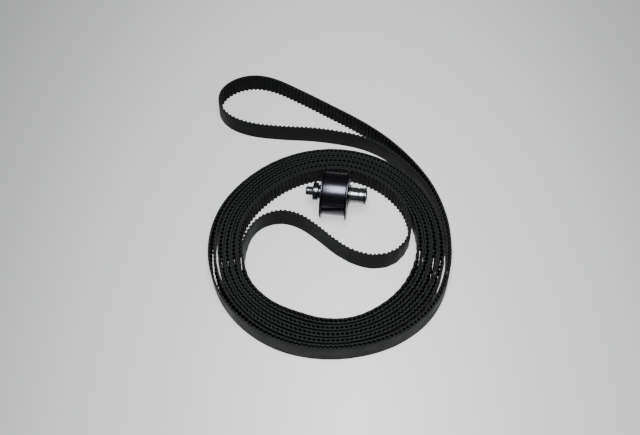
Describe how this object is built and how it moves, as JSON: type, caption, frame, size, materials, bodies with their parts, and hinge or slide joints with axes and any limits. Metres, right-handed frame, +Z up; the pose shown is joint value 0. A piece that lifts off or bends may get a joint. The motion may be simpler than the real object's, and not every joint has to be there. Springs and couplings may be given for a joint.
{
  "type": "timing belt with idler pulley",
  "caption": "Endless fine-pitch toothed rubber belt folded double and coiled on its edge, with a flanged roller idler on ball bearings lying inside the coil.",
  "frame": {"origin": "middle of the bounding box, at the level of the surface the belt stands on", "axes": "+Z up, along the belt's width; +Y from the coil towards the free outer bend; +X to the right when seen from the coil's side"},
  "size_m": [0.1074, 0.1437, 0.0234],
  "materials": {
    "belt_rubber": "matte black moulded rubber, faintly satin back",
    "shaft_steel": "turned, dark polished",
    "roller_steel": "blue-black polished",
    "flange_steel": "pressed, satin",
    "bearing_steel": "ground",
    "shield_steel": "pressed, satin",
    "cage_nylon": "natural nylon",
    "ball_steel": "polished",
    "fitting_steel": "turned",
    "bush_steel": "turned, polished"
  },
  "bodies": {
    "belt": {"belt": "belt_rubber"},
    "idler_axle": {"idler_shaft": "shaft_steel", "bearing_left_inner_race": "bearing_steel", "bearing_right_inner_race": "bearing_steel", "bearing_spacer": "fitting_steel", "spacer_left": "fitting_steel", "spacer_right": "fitting_steel", "lock_collar": "fitting_steel", "grooved_bush": "bush_steel", "end_ring": "fitting_steel"},
    "idler_roller": {"roller_shell": "roller_steel", "flange_left": "flange_steel", "flange_right": "flange_steel", "bearing_left_outer_race": "bearing_steel", "bearing_left_outer_shield": "shield_steel", "bearing_left_inner_shield": "shield_steel", "bearing_right_outer_race": "bearing_steel", "bearing_right_outer_shield": "shield_steel", "bearing_right_inner_shield": "shield_steel"},
    "cage_set_left": {"cage_left": "cage_nylon", "ball_left_1": "ball_steel", "ball_left_2": "ball_steel", "ball_left_3": "ball_steel", "ball_left_4": "ball_steel", "ball_left_5": "ball_steel", "ball_left_6": "ball_steel", "ball_left_7": "ball_steel"},
    "cage_set_right": {"cage_right": "cage_nylon", "ball_right_1": "ball_steel", "ball_right_2": "ball_steel", "ball_right_3": "ball_steel", "ball_right_4": "ball_steel", "ball_right_5": "ball_steel", "ball_right_6": "ball_steel", "ball_right_7": "ball_steel"}
  },
  "joints": [
    {"name": "idler_lift", "type": "slide", "parent": "belt", "child": "idler_axle", "axis": [0, 0, 1], "range_m": [0, 0.04]},
    {"name": "roller_spin", "type": "hinge", "parent": "idler_axle", "child": "idler_roller", "pos_m": [0.00215, 0.005, 0.0117], "axis": [0.9934, -0.1149, 0], "continuous": true},
    {"name": "cage_left_spin", "type": "hinge", "parent": "idler_axle", "child": "cage_set_left", "pos_m": [-0.00118, 0.00539, 0.0117], "axis": [0.9934, -0.1149, 0], "continuous": true},
    {"name": "cage_right_spin", "type": "hinge", "parent": "idler_axle", "child": "cage_set_right", "pos_m": [0.00548, 0.00462, 0.0117], "axis": [0.9934, -0.1149, 0], "continuous": true}
  ],
  "couplings": [
    {"joint": "cage_left_spin", "follows": "roller_spin", "ratio": 0.6111},
    {"joint": "cage_right_spin", "follows": "roller_spin", "ratio": 0.6111}
  ]
}
